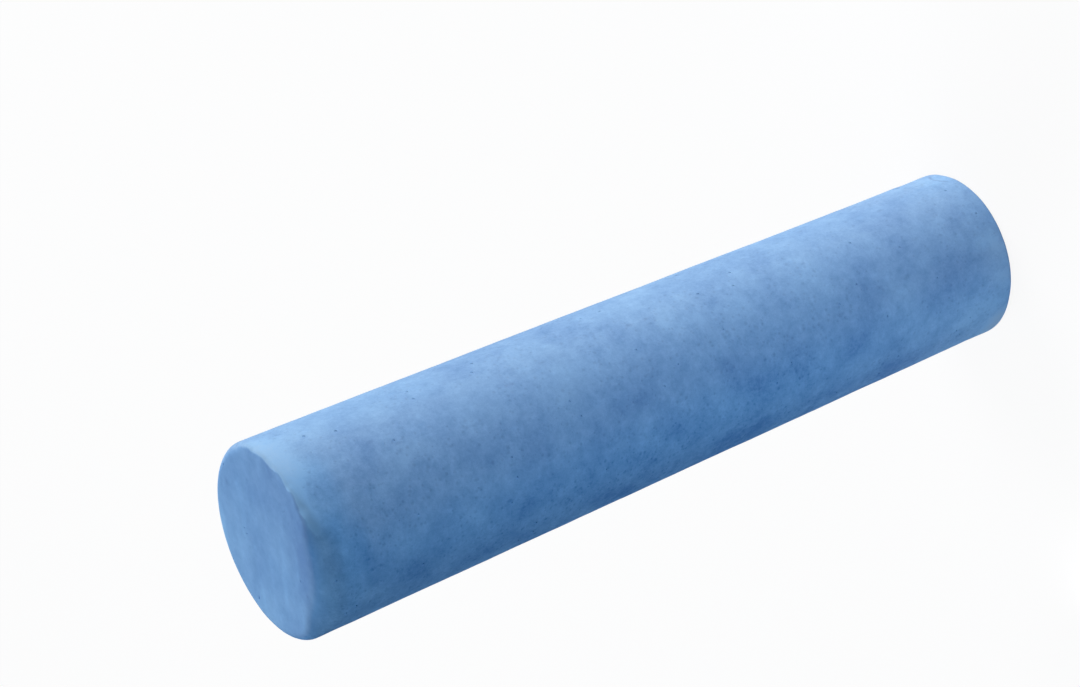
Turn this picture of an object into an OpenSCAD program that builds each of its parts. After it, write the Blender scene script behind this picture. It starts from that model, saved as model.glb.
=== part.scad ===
// Jumbo chalk stick, cast in one piece in a tapered mould.
// It stands on its narrow end, with +Z along the stick and the origin at the middle of that end.
// Sides are given in degrees about Z, counted from +X towards +Y. Lengths are in millimetres.

/* [Stick] */
// Length along the middle, from the narrow end to the struck-off face
stick_len = 107; // [60:1:160]
// Diameter at the wide end, where the mould is filled
wide_d = 25; // [22:0.1:34]
// Diameter at the narrow end, smaller so that the stick slips out of its mould
narrow_d = 22.2; // [16:0.1:28]

/* [Rims] */
// Radius of the rounding round the wide end
wide_rim_r = 1.3; // [0.6:0.1:3]
// Radius of the rounding round the narrow end, kept small by the floor of the mould
narrow_rim_r = 0.6; // [0.4:0.1:1.5]

/* [Struck-off face] */
// Angle by which the wide end's face leans out of square, from scraping the wet mix level
face_lean = 1.8; // [0:0.1:4]
// Side on which that face stands highest
face_high_side = 130; // [0:5:355]

/* [Worn edge] */
// Greatest depth of the bevel rubbed on the narrow rim, measured square to the bevel
wear_depth = 0.3; // [0.1:0.05:0.6]
// Side on which that bevel is deepest
wear_side = 225; // [0:5:355]
// How far round the rim the bevel runs before it fades out, in degrees
wear_span = 150; // [60:5:240]

/* [Flake] */
// Side on which a thin flake is gone from the narrow rim
flake_side = 335; // [0:1:359]
// How far the flake's scar reaches up the wall from the rim
flake_reach = 2.2; // [1:0.1:4]
// Depth of the scar below the wall and rounding
flake_depth = 0.3; // [0.1:0.05:0.5]

/* [Nick] */
// Height of the nick in the wall above the narrow end
nick_height = 7.6; // [5:0.1:30]
// Side on which the nick lies
nick_side = 345; // [0:1:359]
// Width of the nick across its mouth
nick_width = 1.5; // [0.6:0.1:3]
// Depth of the nick
nick_depth = 0.3; // [0.1:0.05:0.6]

/* [Hidden] */
$fn = 96;

chalk_blue = "#6a9bd2";
wide_r = wide_d / 2;
narrow_r = narrow_d / 2;
// Growth in radius for each millimetre of height
draft = (wide_r - narrow_r) / stick_len;
// Room by which the shapes that cut the stick reach past it
past = 5;
// Room by which the shape that rounds a rim stands outside the wall, so that it cuts no ledge there
rim_ease = 0.01;
// What the lean of the wide end's face moves its rim in and the wall out
lean_ease = wide_r * (1 - cos(face_lean)) + draft * wide_r * sin(face_lean);
// Slope of the worn bevel
bevel_slope = 45;
// Slope below level of the line through the middle of the flake's scar
flake_slope = 20;

function wall_r(height) = narrow_r + draft * height;

// Radius of the ball that scoops a hollow of this width and depth in a flat surface
function scoop_r(width, depth) = (width * width / 4 + depth * depth) / (2 * depth);

// The wall alone, past both ends
module drafted_wall() {
    translate([0, 0, -past])
        cylinder(
            r1 = wall_r(-past),
            r2 = wall_r(stick_len + past),
            h = stick_len + 2 * past
        );
}

// A body of radius r with its flat face at zero and a rim rounded to rim_r.
// Below the rounding it steps out clear of the wall, and it reaches past the stick's other end.
module rounded_end(r, rim_r) {
    depth = stick_len + past;
    rotate_extrude()
        difference() {
            polygon([
                [0, 0],
                [r, 0],
                [r, -rim_r],
                [r + past, -rim_r],
                [r + past, -depth],
                [0, -depth]
            ]);
            translate([r - rim_r, -rim_r])
                difference() {
                    square(2 * rim_r);
                    circle(r = rim_r);
                }
        }
}

module narrow_end() {
    mirror([0, 0, 1])
        rounded_end(wall_r(narrow_rim_r) + rim_ease, narrow_rim_r);
}

// The wide end leans about the level at which its rounding meets the wall
module wide_end() {
    translate([0, 0, stick_len - wide_rim_r])
        rotate([0, 0, face_high_side])
        rotate([0, -face_lean, 0])
        translate([0, 0, wide_rim_r])
        rounded_end(wall_r(stick_len - wide_rim_r) + rim_ease + lean_ease, wide_rim_r);
}

// Cone of the worn bevel.
// It leans, so that it cuts deepest on one side and passes outside the rim on the other.
module wear_cone() {
    // Radius at zero height of the upright cone that only touches the rounding
    touch_r = narrow_r - narrow_rim_r + narrow_rim_r * (sqrt(2) - 1);
    cut = wear_depth * sqrt(2);
    swing = cut / (1 - cos(wear_span / 2));
    cone_r = touch_r - cut + swing;
    cone_h = stick_len + 3 * past;
    rotate([0, 0, wear_side])
        rotate([0, -asin(swing / narrow_r), 0])
        translate([0, 0, -past])
        cylinder(
            r1 = cone_r - past / tan(bevel_slope),
            r2 = cone_r + (cone_h - past) / tan(bevel_slope),
            h = cone_h
        );
}

// Shallow scoop whose middle lies on the narrow rim's rounding
module flake_scar() {
    ball_r = scoop_r(2 * flake_reach, flake_depth);
    out = narrow_rim_r + ball_r - flake_depth;
    rotate([0, 0, flake_side])
        translate([
            narrow_r - narrow_rim_r + out * cos(flake_slope),
            0,
            narrow_rim_r - out * sin(flake_slope)
        ])
        sphere(r = ball_r);
}

// Small scoop in the wall
module nick() {
    ball_r = scoop_r(nick_width, nick_depth);
    rotate([0, 0, nick_side])
        translate([wall_r(nick_height) + ball_r - nick_depth, 0, nick_height])
        sphere(r = ball_r);
}

module chalk_stick() {
    color(chalk_blue)
        difference() {
            intersection() {
                drafted_wall();
                narrow_end();
                wide_end();
                wear_cone();
            }
            flake_scar();
            nick();
        }
}

chalk_stick();
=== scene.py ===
# %% [markdown]
# # A jumbo chalk stick
# The real object is one thick stick of pavement chalk. Plaster and blue pigment are mixed with
# water, poured into a tapered mould, scraped level at the wide end and left to set. The stick
# slips out of the mould narrow end first, and from then on it rubs, chips and dusts.
# It could be made from the exact solid that comes with the part, but that solid has no pits,
# crumbs or mould marks. So a finer stick is modelled over it, and takes its place in pictures.

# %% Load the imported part, which sets the place and the size of everything
import math
from collections import namedtuple

import bpy
import numpy as np
from mathutils import Matrix, Quaternion, Vector, noise


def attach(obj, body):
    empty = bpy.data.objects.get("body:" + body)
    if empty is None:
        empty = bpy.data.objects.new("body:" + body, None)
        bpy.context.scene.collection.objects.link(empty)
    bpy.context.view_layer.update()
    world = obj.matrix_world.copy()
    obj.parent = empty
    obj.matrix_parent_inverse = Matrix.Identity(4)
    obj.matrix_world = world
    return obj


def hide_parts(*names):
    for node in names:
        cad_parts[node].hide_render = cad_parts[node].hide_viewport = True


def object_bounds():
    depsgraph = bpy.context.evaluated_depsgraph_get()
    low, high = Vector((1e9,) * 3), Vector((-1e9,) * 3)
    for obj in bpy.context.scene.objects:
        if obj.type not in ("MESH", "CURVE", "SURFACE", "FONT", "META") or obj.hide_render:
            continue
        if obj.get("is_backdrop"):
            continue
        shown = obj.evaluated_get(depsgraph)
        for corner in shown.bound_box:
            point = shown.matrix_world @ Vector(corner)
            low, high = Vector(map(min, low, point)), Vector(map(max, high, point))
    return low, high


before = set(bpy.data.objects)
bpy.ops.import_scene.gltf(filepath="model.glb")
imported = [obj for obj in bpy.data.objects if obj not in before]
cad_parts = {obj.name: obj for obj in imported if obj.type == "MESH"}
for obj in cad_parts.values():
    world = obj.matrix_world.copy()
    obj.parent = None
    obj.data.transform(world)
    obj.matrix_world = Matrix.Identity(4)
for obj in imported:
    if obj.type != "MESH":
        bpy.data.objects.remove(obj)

cad_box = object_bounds()
MM = 0.001
print("exact solid, lowest corner in mm:", [round(x / MM, 2) for x in cad_box[0]])
print("exact solid, highest corner in mm:", [round(x / MM, 2) for x in cad_box[1]])

# %% [markdown]
# ## Camera
# A long lens keeps the two ends of the stick near their true proportions. The stick stands on
# its narrow end in this file, and the picture shows it lying, so the camera is rolled about
# its own line of sight. Turning the stick would do the same, but the part may not be moved.

# %% Camera above and in front of the stick, rolled so that the stick lies in the picture
LENS = 105
SENSOR_WIDTH = 36
CAMERA_AIM = Vector((9.756, 0, 63.484)) * MM
CAMERA_DISTANCE = 389.56 * MM
CAMERA_HEIGHT_ANGLE = math.radians(27.93)
CAMERA_ROLL = math.radians(112.09)

back = Vector((0, -math.cos(CAMERA_HEIGHT_ANGLE), math.sin(CAMERA_HEIGHT_ANGLE)))
lens = bpy.data.cameras.new("camera")
lens.lens = LENS
lens.sensor_width = SENSOR_WIDTH
lens.clip_start = 0.01
camera = bpy.data.objects.new("camera", lens)
bpy.context.scene.collection.objects.link(camera)
camera.rotation_mode = "QUATERNION"
camera.location = CAMERA_AIM + back * CAMERA_DISTANCE
camera.rotation_quaternion = (-back).to_track_quat("-Z", "Y") @ Quaternion((0, 0, 1), -CAMERA_ROLL)
bpy.context.scene.camera = camera
print("camera at", [round(x, 3) for x in camera.location])

# %% [markdown]
# ## Sizes
# These are the maker's measures, the same as the exact solid's. The wall grows a little wider
# all the way up, so that the stick slips out of its mould. Sides are angles about the upright
# axis, counted from +X towards +Y. Two places less than a hair apart count as the same.

# %% Sizes of the stick, in metres
LENGTH = 107 * MM
WIDE_RADIUS = 12.5 * MM
NARROW_RADIUS = 11.1 * MM
WIDE_ROUNDING = 1.3 * MM
NARROW_ROUNDING = 0.6 * MM
FACE_LEAN = math.radians(1.8)
FACE_HIGH_SIDE = math.radians(130)
DRAFT = (WIDE_RADIUS - NARROW_RADIUS) / LENGTH
SPOKES = 240
HAIR = 1e-7
TINY = 1e-9


def wall_radius(height):
    return NARROW_RADIUS + DRAFT * height


def smooth(low, high, value):
    """Rises softly from 0 at low to 1 at high."""
    t = np.clip((value - low) / (high - low), 0, 1)
    return t * t * (3 - 2 * t)


def side_gap(points, side):
    """How far round the stick, in radians, each point is from a side."""
    gap = np.arctan2(points[:, 1], points[:, 0]) - side
    return (gap + math.pi) % (2 * math.pi) - math.pi


print("draft: %.3f mm of radius for each 10 mm of height" % (DRAFT * 10))

# %% [markdown]
# ## Hand tools
# Modelling by hand is a round of choosing and changing: pick some edges or faces, then bevel,
# inset or cut them. These helpers do the choosing in code, by where things are.

# %% Helpers to choose parts of a mesh and to work on them in edit mode
ELEMENTS = {"VERT": "vertices", "EDGE": "edges", "FACE": "polygons"}


def deselect_all():
    for other in bpy.context.selected_objects:
        other.select_set(False)


def vertex_points(piece):
    points = np.zeros(len(piece.data.vertices) * 3)
    piece.data.vertices.foreach_get("co", points)
    return points.reshape(-1, 3)


def face_middles(piece):
    middles = np.zeros(len(piece.data.polygons) * 3)
    piece.data.polygons.foreach_get("center", middles)
    return middles.reshape(-1, 3)


def edge_ends(piece):
    """The two end points of every edge."""
    ends = np.zeros(len(piece.data.edges) * 2, int)
    piece.data.edges.foreach_get("vertices", ends)
    points = vertex_points(piece)
    return points[ends[0::2]], points[ends[1::2]]


def work(piece, kind, chosen, operator, **settings):
    """Selects the chosen elements of one kind, and runs an edit-mode operator on them."""
    bpy.context.tool_settings.mesh_select_mode = [kind == k for k in ELEMENTS]
    for name in ELEMENTS.values():
        elements = getattr(piece.data, name)
        elements.foreach_set("select", np.zeros(len(elements), bool))
    getattr(piece.data, ELEMENTS[kind]).foreach_set("select", np.asarray(chosen, bool))
    bpy.ops.object.mode_set(mode="EDIT")
    operator(**settings)
    bpy.ops.object.mode_set(mode="OBJECT")


def sculpt(piece, stroke):
    """Moves the vertices to where stroke(points) puts them, and says how many moved and how far."""
    points = vertex_points(piece)
    moved = stroke(points.copy())
    piece.data.vertices.foreach_set("co", moved.ravel())
    piece.data.update()
    reach = np.linalg.norm(moved - points, axis=1)
    count = (reach > TINY).sum()
    print("%s moved %d vertices, at most %.2f mm" % (stroke.__name__, count, reach.max() / MM))


# %% [markdown]
# ## The blank
# A moulded stick is a truncated cone with rounded rims. It could be turned from a drawn outline,
# but a cone primitive at its true size is quicker to check, and a bevel rounds its rims as the
# mould does. Each rim has its own radius: the floor of the mould gives a tight one, and wiping
# the wet mix gives a soft one.

# %% Cone at its size and place, standing on its narrow end
deselect_all()
bpy.ops.mesh.primitive_cone_add(
    vertices=SPOKES,
    radius1=NARROW_RADIUS,
    radius2=WIDE_RADIUS,
    depth=LENGTH,
    location=(0, 0, LENGTH / 2),
)
stick = bpy.context.active_object
stick.name = "chalk_stick_finished"
stick.data.name = "chalk_stick_finished"
bpy.ops.object.transform_apply(location=True)

# %% Both rims rounded
ROUNDING_STEPS = 9
for level, rounding in ((LENGTH, WIDE_ROUNDING), (0, NARROW_ROUNDING)):
    low, high = edge_ends(stick)
    on_rim = (abs(low[:, 2] - level) < HAIR) & (abs(high[:, 2] - level) < HAIR)
    work(stick, "EDGE", on_rim, bpy.ops.mesh.bevel, offset=rounding, segments=ROUNDING_STEPS)
print("blank:", len(stick.data.vertices), "vertices")

# %% [markdown]
# The wet mix was scraped level by hand, so the wide end leans a little out of square. Its face
# and its rounding turn together about the level where the rounding meets the wall, before the
# wall is cut into rings, so that the rings share the lean out between them.

# %% Lean of the scraped end
LEAN_LEVEL = LENGTH - WIDE_ROUNDING
lean_turn = Matrix.Rotation(FACE_HIGH_SIDE, 4, "Z") @ Matrix.Rotation(-FACE_LEAN, 4, "Y")
lean_turn = lean_turn @ Matrix.Rotation(-FACE_HIGH_SIDE, 4, "Z")
to_level = Matrix.Translation((0, 0, LEAN_LEVEL))
about_rim = to_level @ lean_turn @ to_level.inverted()


def lean_the_face(points):
    top = points[:, 2] > LEAN_LEVEL - HAIR
    turn = np.array(about_rim.to_3x3())
    points[top] = points[top] @ turn.T + np.array(about_rim.translation)
    return points


sculpt(stick, lean_the_face)
print("highest point of the face: %.3f mm" % (vertex_points(stick)[:, 2].max() / MM))

# %% [markdown]
# The two end faces are single many-sided faces. Insets give them rings, close together where
# the struck face is seen from near, and a poke closes each middle. The wall is cut by
# subdividing its long edges: a square of about a third of a millimetre holds a soft dent.

# %% Rings on the end faces
FACE_RINGS = 24
FACE_MIDDLE = 0.6
BASE_RINGS = (0.15 * MM, 0.15 * MM, 0.15 * MM, 0.3 * MM, 1.5 * MM, 3 * MM)


def end_cap(level):
    """The one face with a side for every spoke, at the end that is near this level."""
    sides = np.array([len(face.vertices) for face in stick.data.polygons])
    return (sides == SPOKES) & (abs(face_middles(stick)[:, 2] - level) < 1 * MM)


ring_width = (WIDE_RADIUS - WIDE_ROUNDING) / (FACE_RINGS + FACE_MIDDLE)
for ring in range(FACE_RINGS):
    work(stick, "FACE", end_cap(LENGTH), bpy.ops.mesh.inset, thickness=ring_width)
for width in BASE_RINGS:
    work(stick, "FACE", end_cap(0), bpy.ops.mesh.inset, thickness=width)
for level in (LENGTH, 0):
    work(stick, "FACE", end_cap(level), bpy.ops.mesh.poke)
print("with rings on its ends the stick has", len(stick.data.polygons), "faces")

# %% Rings on the wall
WALL_CUTS = 17
STEEPNESS = 1.2
WALL_TOP = LEAN_LEVEL - 0.45 * MM

for cutting in ("first", "second"):
    low, high = edge_ends(stick)
    middle = (low[:, 2] + high[:, 2]) / 2
    upright = abs(high[:, 2] - low[:, 2]) > STEEPNESS * abs(high - low)[:, :2].max(axis=1)
    on_wall = upright & (middle > NARROW_ROUNDING + HAIR) & (middle < WALL_TOP)
    work(stick, "EDGE", on_wall, bpy.ops.mesh.subdivide, number_cuts=WALL_CUTS)
    print("after the", cutting, "cutting the stick has", len(stick.data.polygons), "faces")

# %% [markdown]
# The rim of the scraped end isn't the same all round. Wiping has worn it to a wide soft curve on
# one side, and on the side next to that it is still a fairly crisp corner. A bevel has one width
# and one profile, so the rim is reshaped by moving its vertices: each one is carried out or in
# along its own direction from the middle of the rounding. A round corner follows the rule of
# a circle, which adds squares. With a higher power than 2 the same rule gives a crisper corner.

# %% Soft side and crisp side of the wide rim
SOFT_SIDE, SOFT_REACH = math.radians(230), math.radians(50)
SOFT_ROUNDING = 3.6 * MM
CRISP_SIDE, CRISP_REACH = math.radians(318), math.radians(38)
CRISPNESS = 3.0


def share_of_side(points, side, reach, full=0.5):
    """1 about one side of the stick, and softly 0 beyond the reach."""
    return 1 - smooth(full * reach, reach, abs(side_gap(points, side)))


def face_level(points):
    """Height of the leaning face over or under each point."""
    uphill = points[:, 0] * math.cos(FACE_HIGH_SIDE) + points[:, 1] * math.sin(FACE_HIGH_SIDE)
    return LENGTH + math.tan(FACE_LEAN) * uphill


def reshape_the_rim(points):
    top = points[:, 2] > LENGTH - 2 * SOFT_ROUNDING
    some = points[top]
    out = np.hypot(some[:, 0], some[:, 1])
    softness = share_of_side(some, SOFT_SIDE, SOFT_REACH)
    rounding = WIDE_ROUNDING + (SOFT_ROUNDING - WIDE_ROUNDING) * softness
    power = 2 + CRISPNESS * share_of_side(some, CRISP_SIDE, CRISP_REACH)
    middle_out = wall_radius(some[:, 2]) - rounding
    middle_up = face_level(some) - rounding
    across = np.maximum(out - middle_out, 0)
    up = np.maximum(some[:, 2] - middle_up, 0)
    in_corner = (across > HAIR) & (up > HAIR)
    distance = np.maximum(np.hypot(across, up), TINY)
    corner = rounding / ((across / distance) ** power + (up / distance) ** power) ** (1 / power)
    softened = rounding > 1.01 * WIDE_ROUNDING
    carry = np.where(softened, np.minimum(corner / distance, 1), corner / distance)
    new_out = np.where(in_corner, middle_out + across * carry, out)
    some[:, :2] *= (new_out / np.maximum(out, TINY))[:, None]
    some[:, 2] = np.where(in_corner, middle_up + up * carry, some[:, 2])
    points[top] = some
    return points


sculpt(stick, reshape_the_rim)

# %% [markdown]
# ## Marks of making and use
# The mould's own wall is not quite true, and plaster shrinks unevenly as it sets. Sculpting
# could give that too, but a soft noise is even all round. It pushes the skin in by little more
# than a tenth of a millimetre. It only ever goes in, so that the stick stays inside its
# measured size, and the flat end that it stands on is left flat.

# %% Soft hollows over the wall and the struck face
RELIEF = (("broad", 9 * MM, 0.10 * MM), ("close", 2.2 * MM, 0.035 * MM))
RELIEF_STARTS, RELIEF_FULL = 0.8 * MM, 5 * MM
WEIGHT_STEPS = 10

points = vertex_points(stick)
skin = stick.vertex_groups.new(name="skin")
fade = smooth(RELIEF_STARTS, RELIEF_FULL, points[:, 2])
for step in range(1, WEIGHT_STEPS + 1):
    members = np.nonzero(np.round(fade * WEIGHT_STEPS) == step)[0]
    skin.add(members.tolist(), step / WEIGHT_STEPS, "REPLACE")

for name, size, depth in RELIEF:
    pattern = bpy.data.textures.new(name + " relief", "CLOUDS")
    pattern.noise_scale = size
    pattern.noise_depth = 2
    push = stick.modifiers.new(name + " relief", "DISPLACE")
    push.texture = pattern
    push.texture_coords = "LOCAL"
    push.vertex_group = skin.name
    push.mid_level = 1
    push.strength = depth
    bpy.context.view_layer.objects.active = stick
    bpy.ops.object.modifier_apply(modifier=push.name)
relief = np.linalg.norm(vertex_points(stick) - points, axis=1)
print("hollows: mean %.3f mm, deepest %.3f mm" % (relief.mean() / MM, relief.max() / MM))

# %% Finer mesh where the flake, the nick and the crumbled rim go
FLAKE_SIDE, FLAKE_REACH = math.radians(337), math.radians(11)
FLAKE_HEIGHT, FLAKE_DEPTH, CREASE_DEPTH = 2.2 * MM, 0.05 * MM, 0.09 * MM
NICK_SIDE, NICK_HEIGHT = math.radians(348.5), 6.9 * MM
NICK_WIDTH, NICK_DEPTH = 0.9 * MM, 0.3 * MM
CRUMBLE_SIDE, CRUMBLE_REACH = math.radians(312), math.radians(42)
FINE_FLAKE_TOP, FINE_FLAKE_RADIUS, FINE_NICK_SIZE = 3 * MM, 10.2 * MM, 1.3 * MM
FINE_RIM_BOTTOM, FINE_RIM_RADIUS = 105.3 * MM, 10.9 * MM


def round_the_flake_and_nick(middles, radius):
    flake = abs(side_gap(middles, FLAKE_SIDE)) < 1.2 * FLAKE_REACH
    flake &= (middles[:, 2] < FINE_FLAKE_TOP) & (radius > FINE_FLAKE_RADIUS)
    nick = abs(side_gap(middles, NICK_SIDE)) * radius < FINE_NICK_SIZE
    nick &= abs(middles[:, 2] - NICK_HEIGHT) < FINE_NICK_SIZE
    return flake | nick


def round_the_crumbs(middles, radius):
    crumbs = abs(side_gap(middles, CRUMBLE_SIDE)) < CRUMBLE_REACH
    return crumbs & (radius > FINE_RIM_RADIUS) & (middles[:, 2] > FINE_RIM_BOTTOM)


for place in (round_the_flake_and_nick, round_the_crumbs):
    middles = face_middles(stick)
    chosen = place(middles, np.hypot(middles[:, 0], middles[:, 1]))
    work(stick, "FACE", chosen, bpy.ops.mesh.subdivide, number_cuts=1)
    print("finer mesh %s: %d faces in all" % (place.__name__, len(stick.data.polygons)))

# %% [markdown]
# The narrow rim has rubbed on the ground, so a bevel of changing width runs round part of it.
# A leaning cone gives that bevel: skin that stands outside the cone is moved onto it.

# %% Bevel rubbed on the narrow rim
WEAR_DEPTH = 0.3 * MM
WEAR_SIDE = math.radians(225)
WEAR_SPAN = math.radians(150)
WEAR_ZONE = 4 * MM


def rub_the_rim(points):
    corner_radius = NARROW_RADIUS - NARROW_ROUNDING + NARROW_ROUNDING * (math.sqrt(2) - 1)
    cut = WEAR_DEPTH * math.sqrt(2)
    swing = cut / (1 - math.cos(WEAR_SPAN / 2))
    cone_radius = corner_radius - cut + swing
    lean = Matrix.Rotation(WEAR_SIDE, 3, "Z")
    lean = np.array(lean @ Matrix.Rotation(-math.asin(swing / NARROW_RADIUS), 3, "Y"))
    near = points[:, 2] < WEAR_ZONE
    local = points[near] @ lean
    out = np.hypot(local[:, 0], local[:, 1])
    over = np.maximum(out - cone_radius - local[:, 2], 0) / 2
    local[:, :2] *= ((out - over) / np.maximum(out, TINY))[:, None]
    local[:, 2] += over
    points[near] = local @ lean.T
    points[:, 2] = np.maximum(points[:, 2], 0)
    return points


sculpt(stick, rub_the_rim)

# %% [markdown]
# A thin flake is gone from the same rim. It broke off along a curved crease, and the skin below
# the crease is a little sunken. Higher up something hard has bruised the wall: the skin rose
# into a low blister, with a small nick in it. The edges are roughened a little, because chalk
# breaks along its grains.

# %% Flake and nick
GRAIN = 0.6 * MM
CREASE_SAG, CREASE_RAGGEDNESS = 0.9 * MM, 0.15 * MM
CREASE_EDGE, CREASE_WIDTH = 0.1 * MM, 0.25 * MM
BLISTER_SIZE, BLISTER_HEIGHT = 1.6 * MM, 0.17 * MM
NICK_RAGGEDNESS = 0.2 * MM
WALL_INNER = 9 * MM


def grain(points, size):
    """Smooth noise from -1 to 1 at each point, with grains of the given size."""
    return np.array([noise.noise(Vector(point / size)) for point in points])


def hill(distance, size):
    """1 at no distance, falling softly to 0 over a few sizes."""
    return np.exp(-((distance / size) ** 2))


def push_in(points, depth):
    """Moves points towards the middle line of the stick."""
    out = np.hypot(points[:, 0], points[:, 1])
    points[:, :2] *= (1 - depth / np.maximum(out, TINY))[:, None]
    return points


def crease_height(points):
    """The crease is highest over the middle of the flake, and sags towards its ends."""
    swing = side_gap(points, FLAKE_SIDE) / FLAKE_REACH
    return FLAKE_HEIGHT - CREASE_SAG * swing * swing


def knock_off_the_flake(points):
    near = (points[:, 2] < WEAR_ZONE) & (abs(side_gap(points, FLAKE_SIDE)) < FLAKE_REACH)
    near &= np.hypot(points[:, 0], points[:, 1]) > WALL_INNER
    some = points[near]
    crease = crease_height(some) + CREASE_RAGGEDNESS * grain(some, GRAIN)
    share = share_of_side(some, FLAKE_SIDE, FLAKE_REACH, full=0.2)
    below = 1 - smooth(crease - CREASE_EDGE, crease + CREASE_EDGE, some[:, 2])
    groove = hill(some[:, 2] - crease, CREASE_WIDTH)
    points[near] = push_in(some, share * (FLAKE_DEPTH * below + CREASE_DEPTH * groove))
    return points


def distance_on_wall(points, side, height):
    """How far each point is from a place on the wall, measured along the wall."""
    return np.hypot(side_gap(points, side) * NARROW_RADIUS, points[:, 2] - height)


def bruise_the_wall(points):
    near = distance_on_wall(points, NICK_SIDE, NICK_HEIGHT) < 2.5 * BLISTER_SIZE
    some = points[near]
    away = distance_on_wall(some, NICK_SIDE, NICK_HEIGHT)
    blister = BLISTER_HEIGHT * hill(away, BLISTER_SIZE)
    ragged = away + NICK_RAGGEDNESS * grain(some, GRAIN)
    nick = NICK_DEPTH * (1 - smooth(0.3 * NICK_WIDTH, 0.6 * NICK_WIDTH, ragged))
    points[near] = push_in(some, nick - blister)
    return points


sculpt(stick, knock_off_the_flake)
sculpt(stick, bruise_the_wall)

# %% [markdown]
# Where the wide rim is still crisp, the scraper lifted grains out of its corner, and left it
# ragged. Small pieces are taken out of the corner by a noise, only where the noise is high, so
# that the corner keeps its line between them.

# %% Crumbly corner of the wide rim
CRUMB_SIZE, CRUMB_DEPTH = 1.5 * MM, 0.08 * MM
CRUMB_ZONE_BOTTOM, CRUMB_ZONE_RADIUS = 105 * MM, 10.8 * MM
CRUMBS_FROM_RADIUS, CRUMBS_FULL_RADIUS = 11.2 * MM, 11.9 * MM
CRUMBS_FROM_HEIGHT, CRUMBS_FULL_HEIGHT = 105.6 * MM, 106.3 * MM


def crumble_the_rim(points):
    out = np.hypot(points[:, 0], points[:, 1])
    near = (points[:, 2] > CRUMB_ZONE_BOTTOM) & (out > CRUMB_ZONE_RADIUS)
    near &= abs(side_gap(points, CRUMBLE_SIDE)) < CRUMBLE_REACH
    some = points[near]
    share = share_of_side(some, CRUMBLE_SIDE, CRUMBLE_REACH, full=0.7)
    share *= smooth(CRUMBS_FROM_RADIUS, CRUMBS_FULL_RADIUS, out[near])
    share *= smooth(CRUMBS_FROM_HEIGHT, CRUMBS_FULL_HEIGHT, some[:, 2])
    crumbs = smooth(-0.15, 0.5, grain(some, CRUMB_SIZE) + 0.4 * grain(some, CRUMB_SIZE / 2))
    inward = np.stack([-some[:, 0], -some[:, 1], np.full(len(some), -out[near].mean())], 1)
    inward /= np.linalg.norm(inward, axis=1)[:, None]
    points[near] = some + inward * (CRUMB_DEPTH * share * crumbs)[:, None]
    return points


sculpt(stick, crumble_the_rim)

# %% [markdown]
# ## Pits
# Air bubbles against the mould leave small open pits, scattered with no order. They could be
# bump in the material, but then the outline and the exported mesh would lack them. So each pit
# is one face of the skin, inset and sunk. The same seed gives the same pits every time.

# %% Pits scattered over the wall and the struck face
PIT_COUNT, PIT_SEED = 260, 7
PIT_DEPTHS = (0.05 * MM, 0.09 * MM)
PIT_LIP = 0.07 * MM
LOWEST_PIT, NEAREST_PIT = 1.2 * MM, 3 * MM
LEAST_FACE = 0.06 * MM * MM

middles = face_middles(stick)
areas = np.zeros(len(stick.data.polygons))
stick.data.polygons.foreach_get("area", areas)
open_skin = (middles[:, 2] > LOWEST_PIT) & (areas > LEAST_FACE)
open_skin &= np.hypot(middles[:, 0], middles[:, 1]) > NEAREST_PIT
draw = np.random.default_rng(PIT_SEED)
pits = draw.choice(np.nonzero(open_skin)[0], PIT_COUNT, replace=False)
# The pit mark is read by the material to darken the pits with painted shade.
stick.data.attributes.new("pit", "FLOAT", "POINT")
for group, depth in zip(np.split(pits, 2), PIT_DEPTHS):
    chosen = np.zeros(len(stick.data.polygons), bool)
    chosen[group] = True
    before = len(stick.data.vertices)
    work(
        stick, "FACE", chosen, bpy.ops.mesh.inset,
        thickness=PIT_LIP, depth=-depth, use_individual=True,
    )
    mark = np.zeros(len(stick.data.vertices), np.float32)
    stick.data.attributes["pit"].data.foreach_get("value", mark)
    mark[before:] = 1
    stick.data.attributes["pit"].data.foreach_set("value", mark)
print(PIT_COUNT, "pits; the stick has", len(stick.data.polygons), "faces")

# %% [markdown]
# ## Powder
# Loose powder makes chalk paler, and it isn't spread evenly. It gathers on the crumbly corner of
# the wide rim, on the rubbed bevel, at the heel of the stick and round the nick, and the struck
# face has pale streaks along the way it was wiped. A thin whitish dust lies on one whole side
# of the wall, and is rubbed off on the turn of the soft rim. All this could be drawn with noise
# alone, but the places matter. So three values are painted on the mesh for the material to read:
# powder makes the blue paler, dust makes it whiter, and the third marks the struck face. The
# first two also carry painted light and shade: the whiter side of the wall is partly painted
# light, on the side that the key lamp lights; the pale band of the rim is partly a painted
# highlight; the heel, the bevel, the foot and the soft rim are partly paler with painted light;
# one side of the face is paler with painted light and the other darker with painted shade; and
# the crease and a band down one side of the wall are darker with painted shade.

# %% Soft patches of powder and dust on the wall
Patch = namedtuple("Patch", "side reach full low high fade powder dust")
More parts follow.
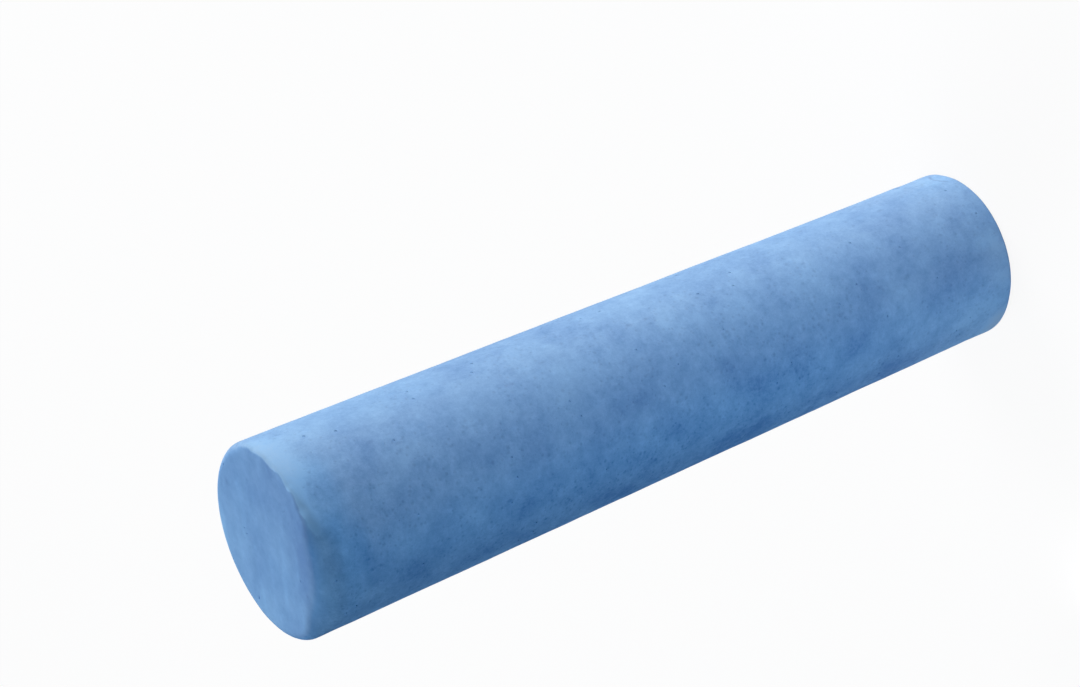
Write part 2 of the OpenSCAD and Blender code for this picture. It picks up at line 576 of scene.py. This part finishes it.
# side and reach in degrees, the share of the reach at full strength, lowest and highest in mm,
# the fade in mm, and how much the patch adds to the powder and to the dust, with their painted
# light and shade
PATCHES = {
    # The heel, the foot, the toe, the front of the foot and the dust round the foot are partly
    # painted light: they make the foot paler, as light off a pale table would, besides the powder
    # there.
    "heel": Patch(256, 28, 0.3, 0, 1.2, 5, 0.5, 0.12),
    "foot": Patch(208, 40, 0.35, 0, 5, 15, 0.42, 0.02),
    "toe": Patch(203, 13, 0.5, 0, 3.2, 1.8, 0.35, 0),
    "front of the foot": Patch(288, 60, 0.7, 0, 2, 4, 0.15, 0),
    "deeper blue over the foot": Patch(290, 40, 0.5, 0, 8, 22, -0.13, 0),
    "dust round the foot": Patch(215, 75, 0.2, 0, 5, 40, 0, 0.08),
    # Painted shade: a darker band down one side of the wall.
    "painted shade down one side": Patch(197, 22, 0.5, 8, 66, 8, -0.2, 0),
    "over the nick": Patch(350, 24, 0.5, 4, 14, 3, 0.1, 0.05),
    # Painted highlight: a paler band on the wall below the rim, on the side that the key lamp
    # lights.
    "below the dusty rim": Patch(336, 26, 0.3, 84, 104, 4, 0.18, 0),
    "below the soft rim": Patch(212, 40, 0.5, 100, 110, 20, 0.06, 0),
}


def band(heights, low, high, fade):
    """1 between two heights, and softly 0 outside them."""
    return smooth(low - fade, low, heights) * (1 - smooth(high, high + fade, heights))


def patch_mask(points, patch):
    """1 in the middle of a patch, and softly 0 beyond it."""
    side, reach = math.radians(patch.side), math.radians(patch.reach)
    mask = share_of_side(points, side, reach, patch.full)
    return mask * band(points[:, 2] / MM, patch.low, patch.high, patch.fade)


def paint_patches(points):
    powder, dust = np.zeros((2, len(points)))
    for name, patch in PATCHES.items():
        mask = patch_mask(points, patch)
        powder += patch.powder * mask
        dust += patch.dust * mask
        print("patch %s: %d vertices" % (name, (mask > 0.5).sum()))
    return powder, dust


# %% Powder and painted light on the rubbed bevel, painted shade along the crease, and powder on the flake and the nick
BEVEL_SIDE, BEVEL_REACH = math.radians(202), math.radians(24)
BEVEL_HEIGHT, BEVEL_FADE = 1.8 * MM, 3 * MM
BEVEL_POWDER_AND_PAINTED_LIGHT, BEVEL_DUST_AND_PAINTED_LIGHT = 0.6, 0.22
FLAKE_PALE_TOP, FLAKE_PALE_FADE, CREASE_SHADE_WIDTH = 4.2 * MM, 1 * MM, 0.22 * MM
FLAKE_POWDER, CREASE_PAINTED_SHADE = 0.2, -0.9
BRUISE_POWDER, NICK_POWDER = 0.25, -0.6


def paint_wear_light_and_shade(points):
    """Powder and dust where the stick is rubbed or bruised, with painted light on the bevel and
    painted shade along the crease.
    """
    height = points[:, 2]
    rubbed = share_of_side(points, BEVEL_SIDE, BEVEL_REACH, full=0.3)
    bevel = rubbed * band(height, 0, BEVEL_HEIGHT * rubbed, BEVEL_FADE)
    flake = share_of_side(points, FLAKE_SIDE, FLAKE_REACH)
    flake = flake * band(height, 0, FLAKE_PALE_TOP, FLAKE_PALE_FADE)
    crease = share_of_side(points, FLAKE_SIDE, FLAKE_REACH, full=0.7)
    crease = crease * hill(height - crease_height(points), CREASE_SHADE_WIDTH)
    away = distance_on_wall(points, NICK_SIDE, NICK_HEIGHT)
    powder = BEVEL_POWDER_AND_PAINTED_LIGHT * bevel + FLAKE_POWDER * flake + CREASE_PAINTED_SHADE * crease
    powder += BRUISE_POWDER * hill(away, BLISTER_SIZE) + NICK_POWDER * hill(away, 0.5 * NICK_WIDTH)
    return powder, BEVEL_DUST_AND_PAINTED_LIGHT * bevel


# %% [markdown]
# The wide end is divided by masks into its corner, its dusty rim and its struck face. The pale
# band of the rim is partly powder and partly a painted highlight. Where the rim is soft the blue
# of the face runs on a little way down the rounding, so there is a wide mask of the face as well
# as one of its flat part. A noise makes the line of the corner ragged.

# %% Masks of the wide end
END_BOTTOM = 104 * MM
RAGGEDNESS = 0.45 * MM
CORNER_STARTS, CORNER_FULL = 11.75 * MM, 12.1 * MM
RIM_SIDE, RIM_REACH = math.radians(302), math.radians(46)
RIM_BOTTOM, ABOVE_ALL = 105.9 * MM, 120 * MM
RIM_FADE, WIDER_FADE = 1.3 * MM, 3 * MM
WIDER_SIDE, WIDER_REACH = math.radians(335), math.radians(50)
FLAT_STARTS, FLAT_FULL, SOFT_DROP = -0.45 * MM, -0.1 * MM, 1.5 * MM


def wide_end_masks(points):
    """The corner, the dusty rim with its painted highlight, the struck face, and the flat part of
    the face.
    """
    height = points[:, 2]
    out = np.hypot(points[:, 0], points[:, 1])
    on_end = height > END_BOTTOM
    ragged = np.zeros(len(points))
    ragged[on_end] = RAGGEDNESS * grain(points[on_end], CRUMB_SIZE)
    corner = smooth(CORNER_STARTS, CORNER_FULL, out + ragged)
    fade = RIM_FADE + WIDER_FADE * share_of_side(points, WIDER_SIDE, WIDER_REACH)
    rim = share_of_side(points, RIM_SIDE, RIM_REACH, full=0.65)
    rim = rim * band(height + ragged, RIM_BOTTOM, ABOVE_ALL, fade)
    over = height - face_level(points)
    face_starts = FLAT_STARTS - SOFT_DROP * share_of_side(points, SOFT_SIDE, SOFT_REACH)
    face = smooth(face_starts, FLAT_FULL, over) * (1 - corner)
    flat = smooth(FLAT_STARTS, FLAT_FULL, over) * (1 - corner)
    return corner, rim, face, flat


# %% Painted light and shade, streaks and a smudge on the struck face
PALE_SIDE, DARK_SIDE = math.radians(120), math.radians(280)
TONE_REACH, TONE_RADIUS = math.radians(97.4), 11 * MM
FACE_FOOT_SIDE, FACE_FOOT_REACH = math.radians(190), math.radians(30)
FACE_FOOT_STARTS, FACE_FOOT_FULL = 8.5 * MM, 11.5 * MM
SMUDGE_SIDE, SMUDGE_OUT, SMUDGE_SIZE = math.radians(30), 9.7 * MM, 0.5 * MM
WIPE_DIRECTION = math.radians(152)
STREAK_WIDTH, STREAK_LENGTH = 2.4 * MM, 9 * MM
FACE_PAINTED_LIGHT, FACE_PAINTED_SHADE, FACE_FOOT_PAINTED_SHADE, SMUDGE_POWDER = 0.14, -0.3, -0.22, -0.35
STREAK_POWDER, PALE_STREAK_POWDER = 0.12, 0.14


def wipe_streaks(points):
    """Noise drawn out along the way in which the face was wiped."""
    along = points[:, 0] * math.cos(WIPE_DIRECTION) + points[:, 1] * math.sin(WIPE_DIRECTION)
    across = points[:, 1] * math.cos(WIPE_DIRECTION) - points[:, 0] * math.sin(WIPE_DIRECTION)
    drawn = np.stack([along / STREAK_LENGTH, across / STREAK_WIDTH, 0 * along], 1)
    return grain(drawn, 1) + 0.5 * grain(2 * drawn, 1)


def paint_face(points):
    """Powder on the struck face, with painted light on one side, painted shade on the other and near
    the rim, a smudge and wipe streaks.
    """
    out = np.hypot(points[:, 0], points[:, 1])
    outer = smooth(0, TONE_RADIUS, out)
    pale = outer * share_of_side(points, PALE_SIDE, TONE_REACH, full=0.3)
    dark = outer * share_of_side(points, DARK_SIDE, TONE_REACH, full=0.3)
    foot = share_of_side(points, FACE_FOOT_SIDE, FACE_FOOT_REACH)
    foot = foot * smooth(FACE_FOOT_STARTS, FACE_FOOT_FULL, out)
    smudge_place = SMUDGE_OUT * np.array((math.cos(SMUDGE_SIDE), math.sin(SMUDGE_SIDE)))
    smudge = hill(np.linalg.norm(points[:, :2] - smudge_place, axis=1), SMUDGE_SIZE)
    on_end = points[:, 2] > END_BOTTOM
    streaks = np.zeros(len(points))
    streaks[on_end] = wipe_streaks(points[on_end])
    powder = FACE_PAINTED_LIGHT * pale + FACE_PAINTED_SHADE * dark
    powder += FACE_FOOT_PAINTED_SHADE * foot + SMUDGE_POWDER * smudge
    return powder + STREAK_POWDER * streaks + PALE_STREAK_POWDER * smooth(0.1, 0.8, streaks)


# %% Turn of the soft rim, darker towards the face and paler towards the wall
INNER_TURN_SIDE, INNER_TURN_REACH = math.radians(232), math.radians(44)
INNER_TURN_FROM, INNER_TURN_TO, INNER_TURN_FADE = 7.4 * MM, 9 * MM, 0.8 * MM
OUTER_TURN_SIDE, OUTER_TURN_REACH = math.radians(240), math.radians(24)
OUTER_TURN_STARTS, OUTER_TURN_FULL = 9.9 * MM, 10.7 * MM
OUTER_TURN_FROM_HEIGHT, OUTER_TURN_FULL_HEIGHT = 104.5 * MM, 106 * MM
INNER_TURN_DARKENING, OUTER_TURN_PAINTED_LIGHT = -0.18, 0.24


def paint_turn(points):
    """Darker on the inner part of the soft rim, and paler with painted light on its outer part."""
    out = np.hypot(points[:, 0], points[:, 1])
    inner = share_of_side(points, INNER_TURN_SIDE, INNER_TURN_REACH)
    inner = inner * band(out, INNER_TURN_FROM, INNER_TURN_TO, INNER_TURN_FADE)
    outer = share_of_side(points, OUTER_TURN_SIDE, OUTER_TURN_REACH, full=0.6)
    outer = outer * smooth(OUTER_TURN_STARTS, OUTER_TURN_FULL, out)
    outer = outer * smooth(OUTER_TURN_FROM_HEIGHT, OUTER_TURN_FULL_HEIGHT, points[:, 2])
    on_end = points[:, 2] > END_BOTTOM
    return INNER_TURN_DARKENING * inner * on_end + OUTER_TURN_PAINTED_LIGHT * outer


# %% Wiped patches, where the last number is the share of the dust that is gone; on the soft rim their powder is painted light
TURN = Patch(262, 18, 0.2, 103.5, 107, 1.5, 0.2, 0.45)
SHOULDER = Patch(258, 62, 0.6, 102.5, 107, 2.5, 0.2, 0.25)
CLEAN_BAND = Patch(248, 28, 0, 101, 103.5, 2, 0, 0.6)


def wipe(points, powder, dust, patch, covered):
    """Adds the patch's powder, which on the soft rim is painted light, and moves dust off it, except
    where the face covers it.
    """
    wiped = patch_mask(points, patch) * (1 - covered)
    powder += patch.powder * wiped
    dust *= 1 - patch.dust * wiped


# %% Powder, dust, their painted light and shade, and the struck face, stored on the mesh
# The wall is whiter on the side that the key lamp lights, partly with dust and partly as painted
# light.
DUSTY_LIT_SIDE, WALL_DUST_AND_PAINTED_LIGHT, FACE_DUST = math.radians(335), 0.30, 0.15
LEAST_DUST, LOW_DUST, LOW_DUST_TOP, LOW_DUST_FADE = 0.05, 0.02, 5 * MM, 40 * MM
# The pale band on the corner and on the wall below it is powder and a painted highlight.
CORNER_POWDER_AND_PAINTED_HIGHLIGHT, RIM_POWDER_AND_PAINTED_HIGHLIGHT, RIM_DUST_AND_PAINTED_HIGHLIGHT = 0.55, 0.15, 0.12
BARE_SIDE, BARE_REACH, BARE_DUST = math.radians(286), math.radians(28), -0.035


def paint_powder(piece):
    points = vertex_points(piece)
    corner, rim, face, flat = wide_end_masks(points)
    rim_wall = rim * (1 - flat)
    powder, dust = paint_patches(points)
    wear_powder_and_painted_light, wear_dust_and_painted_light = paint_wear_light_and_shade(points)
    powder += wear_powder_and_painted_light + face * paint_face(points) + paint_turn(points)
    powder += CORNER_POWDER_AND_PAINTED_HIGHLIGHT * rim * corner + RIM_POWDER_AND_PAINTED_HIGHLIGHT * rim_wall

    dusty_lit = smooth(-0.3, 1, np.cos(side_gap(points, DUSTY_LIT_SIDE)))
    dust += LEAST_DUST + wear_dust_and_painted_light + WALL_DUST_AND_PAINTED_LIGHT * dusty_lit * (1 - face) + FACE_DUST * flat
    dust += LOW_DUST * band(points[:, 2], 0, LOW_DUST_TOP, LOW_DUST_FADE)
    wipe(points, powder, dust, TURN, face)
    wipe(points, powder, dust, SHOULDER, flat)
    dust *= 1 + RIM_DUST_AND_PAINTED_HIGHLIGHT * rim_wall
    dust += BARE_DUST * share_of_side(points, BARE_SIDE, BARE_REACH, full=0.3) * (1 - face)
    wipe(points, powder, dust, CLEAN_BAND, face)

    for name, values in (("powder", powder), ("dust", dust), ("scraped", face)):
        mark = piece.data.attributes.new(name, "FLOAT", "POINT")
        mark.data.foreach_set("value", values.astype(np.float32))
        print("%s from %.2f to %.2f" % (name, values.min(), values.max()))


paint_powder(stick)

# %% [markdown]
# The finished stick is shaded smooth, except across sharp edges, such as those of the deeper
# pits. It rides on the part's one body, and takes the place of the exact solid in pictures.

# %% Smooth skin with crisp breaks, and the finished piece in place of the exact solid
CRISP_ANGLE = math.radians(42)

deselect_all()
stick.select_set(True)
bpy.context.view_layer.objects.active = stick
stick.vertex_groups.clear()
bpy.ops.object.shade_smooth_by_angle(angle=CRISP_ANGLE)
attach(stick, "root")
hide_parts("chalk_stick")
print("triangles:", sum(len(face.vertices) - 2 for face in stick.data.polygons))

# %% [markdown]
# ## Chalk
# Chalk has no gloss at all. Its colour comes from pigment in white plaster, so it is paler
# where powder lies on the skin, and deeper where the skin is dense. A picture of real chalk
# could be wrapped round the stick, but a procedural material stays sharp at any distance. It
# goes from a deep blue to a pale one by a soft cloudiness and the painted powder, which also
# carries painted light and shade. Smears, small dark specks and short scuffs break it up, and
# the painted dust is mixed over it as a thin whitish coat, which is partly painted light. The
# struck face was scraped smooth, so it is calmer and has fainter specks. Cloudiness and specks
# are each used several times, so each is a node group.

# %% Helpers to build node trees
def new_group(name, inputs, outputs):
    group = bpy.data.node_groups.new(name, "ShaderNodeTree")
    for direction, sockets in (("INPUT", inputs), ("OUTPUT", outputs)):
        for label, kind in sockets:
            group.interface.new_socket(name=label, in_out=direction, socket_type="NodeSocket" + kind)
    return group, group.nodes.new("NodeGroupInput"), group.nodes.new("NodeGroupOutput")


def node(tree, kind, **settings):
    """A new node. Each setting is one of its options, or the value of one of its inputs."""
    made = tree.nodes.new("ShaderNode" + kind)
    for name, value in settings.items():
        if hasattr(made, name):
            setattr(made, name, value)
        else:
            made.inputs[name.replace("_", " ").title()].default_value = value
    return made


def plug(tree, value, socket):
    """Links an output to a socket, or gives the socket a plain value."""
    if isinstance(value, bpy.types.NodeSocket):
        tree.links.new(value, socket)
    else:
        socket.default_value = value


def maths(tree, operation, first, second, clamp=False):
    """A Math node of two values, each an output or a plain number."""
    made = node(tree, "Math", operation=operation, use_clamp=clamp)
    plug(tree, first, made.inputs[0])
    plug(tree, second, made.inputs[1])
    return made.outputs[0]


# %% Node group for cloudiness
def make_clouds():
    group, entry, leave = new_group(
        "Cloudy skin",
        (("Vector", "Vector"), ("Scale", "Float"), ("Roughness", "Float"), ("Contrast", "Float")),
        (("Value", "Float"),),
    )
    cloud = node(group, "TexNoise", detail=8.0)
    for label in ("Vector", "Scale", "Roughness"):
        group.links.new(entry.outputs[label], cloud.inputs[label])
    centred = maths(group, "SUBTRACT", cloud.outputs["Fac"], 0.5)
    spread = maths(group, "MULTIPLY", centred, entry.outputs["Contrast"])
    group.links.new(spread, leave.inputs["Value"])
    return group


cloudy_skin = make_clouds()
print("node group:", cloudy_skin.name)

# %% [markdown]
# Specks are the cells of a Voronoi texture. Each cell has a colour of its own at random, which
# decides whether it holds a speck and how large that is. A broad noise crowds the specks
# together in some places and thins them out in others, as they lie on real chalk.

# %% Node group for scattered specks
CROWD_SCALE, CROWD_DETAIL = 160.0, 2.0
CROWD_START, CROWD_STRENGTH = 0.4, 9.0
LEAST_SPECK = 0.5


def make_specks():
    group, entry, leave = new_group(
        "Specks",
        (("Vector", "Vector"), ("Scale", "Float"), ("Size", "Float"), ("Share", "Float")),
        (("Mask", "Float"),),
    )
    cells = node(group, "TexVoronoi", feature="F1")
    for label in ("Vector", "Scale"):
        group.links.new(entry.outputs[label], cells.inputs[label])
    pick = node(group, "SeparateColor")
    group.links.new(cells.outputs["Color"], pick.inputs[0])
    crowd = node(group, "TexNoise", scale=CROWD_SCALE, detail=CROWD_DETAIL)
    group.links.new(entry.outputs["Vector"], crowd.inputs["Vector"])
    crowded = maths(group, "SUBTRACT", crowd.outputs["Fac"], CROWD_START)
    crowded = maths(group, "MULTIPLY", crowded, CROWD_STRENGTH)
    share_here = maths(group, "MULTIPLY", entry.outputs["Share"], crowded)
    chosen = maths(group, "LESS_THAN", pick.outputs[0], share_here)
    size = maths(group, "ADD", pick.outputs[1], LEAST_SPECK)
    size = maths(group, "MULTIPLY", entry.outputs["Size"], size)
    near = maths(group, "DIVIDE", cells.outputs["Distance"], size)
    spot = maths(group, "SUBTRACT", 1.0, near, clamp=True)
    group.links.new(maths(group, "MULTIPLY", spot, chosen), leave.inputs["Mask"])
    return group


specks = make_specks()
print("node group:", specks.name)

# %% Helpers that place a group, mix and read what is painted
def place_group(tree, group, vector, **values):
    made = tree.nodes.new("ShaderNodeGroup")
    made.node_tree = group
    tree.links.new(vector, made.inputs["Vector"])
    for name, value in values.items():
        made.inputs[name.title()].default_value = value
    return made.outputs[0]


def mix(tree, factor, first, second):
    """The first colour where the factor is 0 and the second where it is 1."""
    made = node(tree, "Mix", data_type="RGBA")
    tree.links.new(factor, made.inputs["Factor"])
    ends = [socket for socket in made.inputs if socket.type == "RGBA"]
    for socket, colour in zip(ends, (first, second)):
        plug(tree, colour, socket)
    return [socket for socket in made.outputs if socket.type == "RGBA"][0]


def mix_value(tree, factor, first, second):
    """The first value where the factor is 0 and the second where it is 1."""
    change = maths(tree, "MULTIPLY", maths(tree, "SUBTRACT", second, first), factor)
    return maths(tree, "ADD", first, change)


def less_by(tree, mask, share):
    """1 where the mask is 0, and lower by the share where it is 1."""
    return maths(tree, "SUBTRACT", 1.0, maths(tree, "MULTIPLY", mask, share))


def painted(tree, name):
    """What is painted on the mesh under this name."""
    return node(tree, "Attribute", attribute_name=name).outputs["Fac"]


# %% Blue of the chalk, from the clouds, the marks and the powder
CHALK_DEEP = (0.064, 0.245, 0.606, 1)
CHALK_PALE = (0.213, 0.53, 0.945, 1)
MIDDLE_TONE = 0.44
# The pits are darkened with painted shade.
SMEAR_TONE, DARK_SPECK_TONE, LIGHT_SPECK_TONE, PIT_PAINTED_SHADE = 0.2, -0.4, 0.22, -0.12
FAINTER_ON_FACE = 0.7


def chalk_clouds(tree, where, scraped):
    """Strong clouds on the wall, and calmer ones on the struck face."""
    broad = place_group(tree, cloudy_skin, where, scale=110.0, roughness=0.9, contrast=2.9)
    calm = place_group(tree, cloudy_skin, where, scale=110.0, roughness=0.75, contrast=1.8)
    return mix_value(tree, scraped, broad, calm)


def chalk_specks(tree, where, drawn_out, scraped):
    """Dark specks and scuffs."""
    dark = place_group(tree, specks, where, scale=1500.0, size=0.34, share=0.6)
    scuffs = place_group(tree, specks, drawn_out, scale=800.0, size=0.22, share=0.2)
    dark = maths(tree, "ADD", dark, scuffs)
    return maths(tree, "MULTIPLY", dark, less_by(tree, scraped, FAINTER_ON_FACE))


def chalk_blue(tree, drawn_out, clouds, dark):
    smear = place_group(tree, cloudy_skin, drawn_out, scale=300.0, roughness=0.6, contrast=9.0)
    smear = maths(tree, "SUBTRACT", smear, 1.0, clamp=True)
    light = place_group(tree, specks, drawn_out, scale=650.0, size=0.3, share=0.15)
    tone = maths(tree, "ADD", clouds, MIDDLE_TONE)
    tone = maths(tree, "ADD", tone, painted(tree, "powder"))
    marks = ((smear, SMEAR_TONE), (dark, DARK_SPECK_TONE), (light, LIGHT_SPECK_TONE))
    for mark, amount in marks + ((painted(tree, "pit"), PIT_PAINTED_SHADE),):
        tone = maths(tree, "ADD", tone, maths(tree, "MULTIPLY", mark, amount))
    return mix(tree, maths(tree, "MINIMUM", tone, 1.0, clamp=True), CHALK_DEEP, CHALK_PALE)


# %% Whitish dust over the blue, partly painted light
DUST_AND_PAINTED_LIGHT_WHITE = (0.62, 0.73, 0.83, 1)
DUST_PATCHINESS = 0.45


def dusted_and_painted_light(tree, blue, clouds):
    """Dust, partly painted light, lies thicker where the clouds are pale."""
    patchy = maths(tree, "ADD", maths(tree, "MULTIPLY", clouds, DUST_PATCHINESS), 1.0)
    dust = maths(tree, "MULTIPLY", painted(tree, "dust"), patchy, clamp=True)
    return mix(tree, dust, blue, DUST_AND_PAINTED_LIGHT_WHITE)


# %% Grain, as bump, finer than the mesh can hold
GRAIN_DEPTH, GRAIN_STRENGTH = 0.05 * MM, 0.65
LEAST_GRAIN, PLAIN_GRAIN = -0.2, 0.7
SPECK_DEPTH = 0.6
SMOOTHER_ON_FACE = 0.5


def chalk_grain(tree, where, drawn_out, dark, scraped):
    """Fine grain, rougher in patches, with hollows at the specks."""
    fine = place_group(tree, cloudy_skin, where, scale=900.0, roughness=0.7, contrast=1.0)
    patches = place_group(tree, cloudy_skin, drawn_out, scale=260.0, roughness=0.5, contrast=9.0)
    rough = maths(tree, "ADD", maths(tree, "MAXIMUM", patches, LEAST_GRAIN), PLAIN_GRAIN)
    hollows = maths(tree, "MULTIPLY", dark, SPECK_DEPTH)
    height = maths(tree, "SUBTRACT", maths(tree, "MULTIPLY", fine, rough), hollows)
    height = maths(tree, "MULTIPLY", height, less_by(tree, scraped, SMOOTHER_ON_FACE))
    bump = node(tree, "Bump", distance=GRAIN_DEPTH, strength=GRAIN_STRENGTH)
    tree.links.new(height, bump.inputs["Height"])
    return bump.outputs["Normal"]


# %% The chalk material
DRAWN_OUT = (1, 1, 0.45)
MATTE_ROUGHNESS = 0.95
FAINT_GLOSS = 0.05


def make_chalk():
    material = bpy.data.materials.new("Blue chalk")
    material.use_nodes = True
    tree = material.node_tree
    shader = tree.nodes["Principled BSDF"]
    where = node(tree, "TexCoord").outputs["Object"]
    stretch = node(tree, "Mapping", scale=DRAWN_OUT)
    tree.links.new(where, stretch.inputs["Vector"])
    drawn_out = stretch.outputs[0]
    scraped = painted(tree, "scraped")

    clouds = chalk_clouds(tree, where, scraped)
    dark = chalk_specks(tree, where, drawn_out, scraped)
    blue = chalk_blue(tree, drawn_out, clouds, dark)
    tree.links.new(dusted_and_painted_light(tree, blue, clouds), shader.inputs["Base Color"])
    tree.links.new(chalk_grain(tree, where, drawn_out, dark, scraped), shader.inputs["Normal"])
    shader.inputs["Roughness"].default_value = MATTE_ROUGHNESS
    shader.inputs["Specular IOR Level"].default_value = FAINT_GLOSS
    print("chalk material:", len(tree.nodes), "nodes")
    return material


stick.data.materials.clear()
stick.data.materials.append(make_chalk())

# %% [markdown]
# ## Studio
# The stick stands on a white sweep in soft light. The key is a large white lamp on the +X side,
# which is the top of the picture, because the camera is rolled. Two cooler lamps, one overhead
# and one behind, light the struck face, and the room gives a faint blue fill. A low card in
# front and two tiny ones by the foot lift the dark side, as light off a pale table does. The
# floor is white to the camera through its own material, and keeps a faint share of the real
# shadow, so the lamps need no extra strength.

# %% Helpers that show a surface as white to the camera
def seen_directly(tree):
    """1 for the camera, and for what gloss and glass show of the scene."""
    path = node(tree, "LightPath")
    either = maths(tree, "MAXIMUM", path.outputs["Is Camera Ray"], path.outputs["Is Glossy Ray"])
    return maths(tree, "MAXIMUM", either, path.outputs["Is Transmission Ray"])


def light_source(tree, kind, colour, strength):
    made = tree.nodes.new("ShaderNode" + kind)
    made.inputs["Color"].default_value = (*colour, 1)
    made.inputs["Strength"].default_value = strength
    return made


def show_instead(tree, lit, shown, share, output):
    """The camera sees the shown shader, up to a share, and all else meets the lit one."""
    blend = node(tree, "MixShader")
    plug(tree, maths(tree, "MULTIPLY", seen_directly(tree), share), blend.inputs[0])
    tree.links.new(lit.outputs[0], blend.inputs[1])
    tree.links.new(shown.outputs[0], blend.inputs[2])
    tree.links.new(blend.outputs[0], node(tree, output).inputs[0])


# %% Floor that looks white and still shows the shadow
WHITE = (1.0, 1.0, 1.0)
FLOOR_SHADOW_SHARE = 0.08
FLOOR_SIZE = 6
FLOOR_LEVEL = -0.05 * MM
PAPER_GREY = (0.64, 0.7, 0.76, 1)

deselect_all()
bpy.ops.mesh.primitive_plane_add(size=FLOOR_SIZE, location=(0, 0, FLOOR_LEVEL))
floor = bpy.context.active_object
floor.name = "floor"
floor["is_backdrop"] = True

paper = bpy.data.materials.new("White sweep")
paper.use_nodes = True
tree = paper.node_tree
tree.nodes.clear()
matte = node(tree, "BsdfDiffuse")
tree.links.new(mix(tree, seen_directly(tree), PAPER_GREY, (*WHITE, 1)), matte.inputs["Color"])
glow = light_source(tree, "Emission", WHITE, 1.0)
show_instead(tree, matte, glow, 1 - FLOOR_SHADOW_SHARE, "OutputMaterial")
floor.data.materials.append(paper)
print("floor: %d m square" % FLOOR_SIZE)

# %% White room, which fills the shadows
FILL_STRENGTH = 0.02
FILL_COLOUR = (0.68, 0.85, 1.0)

world = bpy.data.worlds.new("white room")
bpy.context.scene.world = world
world.use_nodes = True
tree = world.node_tree
tree.nodes.clear()
fill = light_source(tree, "Background", FILL_COLOUR, FILL_STRENGTH)
white = light_source(tree, "Background", WHITE, 1.0)
show_instead(tree, fill, white, 1.0, "OutputWorld")
print("room fill:", FILL_STRENGTH)

# %% Lamps and cards
COOL_WHITE = (0.88, 0.92, 1.0)
CARD_WHITE = (0.78, 0.88, 1.0)
MIDDLE = LENGTH / 2
# side in degrees, then in metres how far out, how high, the height aimed at and the width of
# the lamp, then its power in watts and its colour
LAMPS = {
    "key lamp": (7, 0.86, 0.33, MIDDLE, 0.7, 7.0, WHITE),
    "top lamp": (90, 0.08, 0.95, MIDDLE, 0.6, 2.1, COOL_WHITE),
    "back lamp": (118, 0.58, 0.74, MIDDLE, 0.6, 2.8, COOL_WHITE),
    "front card": (268, 0.18, 0.03, 0, 0.08, 0.0885, CARD_WHITE),
    "side foot card": (186, 0.052, 0.005, 0.002, 0.014, 0.0024, WHITE),
    "right foot card": (356, 0.06, 0.006, 0.002, 0.02, 0.0028, WHITE),
}


def add_lamp(name, side, out, height, aim_height, size, power, colour):
    """A round soft lamp on one side of the stick, aimed at a height on its middle line."""
    lamp = bpy.data.lights.new(name, "AREA")
    lamp.shape = "DISK"
    lamp.size = size
    lamp.energy = power
    lamp.color = colour
    holder = bpy.data.objects.new(name, lamp)
    bpy.context.scene.collection.objects.link(holder)
    side = math.radians(side)
    holder.location = (math.cos(side) * out, math.sin(side) * out, height)
    away = holder.location - Vector((0, 0, aim_height))
    holder.rotation_euler = away.to_track_quat("Z", "Y").to_euler()
    holder.visible_camera = False


for name, settings in LAMPS.items():
    add_lamp(name, *settings)
print("lamps and cards:", len(LAMPS))

bpy.context.scene.view_settings.view_transform = "Standard"

# %% [markdown]
# ## Size
# The finished stick is made to lie inside the exact solid's box, so both boxes are measured,
# and the room left between them is printed. The finished stick has to fit inside the exact
# solid's box.

# %% Both boxes, and the room left between them
visual_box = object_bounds()
low_room = [round((new - old) / MM, 2) for new, old in zip(visual_box[0], cad_box[0])]
high_room = [round((old - new) / MM, 2) for new, old in zip(visual_box[1], cad_box[1])]
print("room left inside the exact solid's box, in mm:", low_room, high_room)
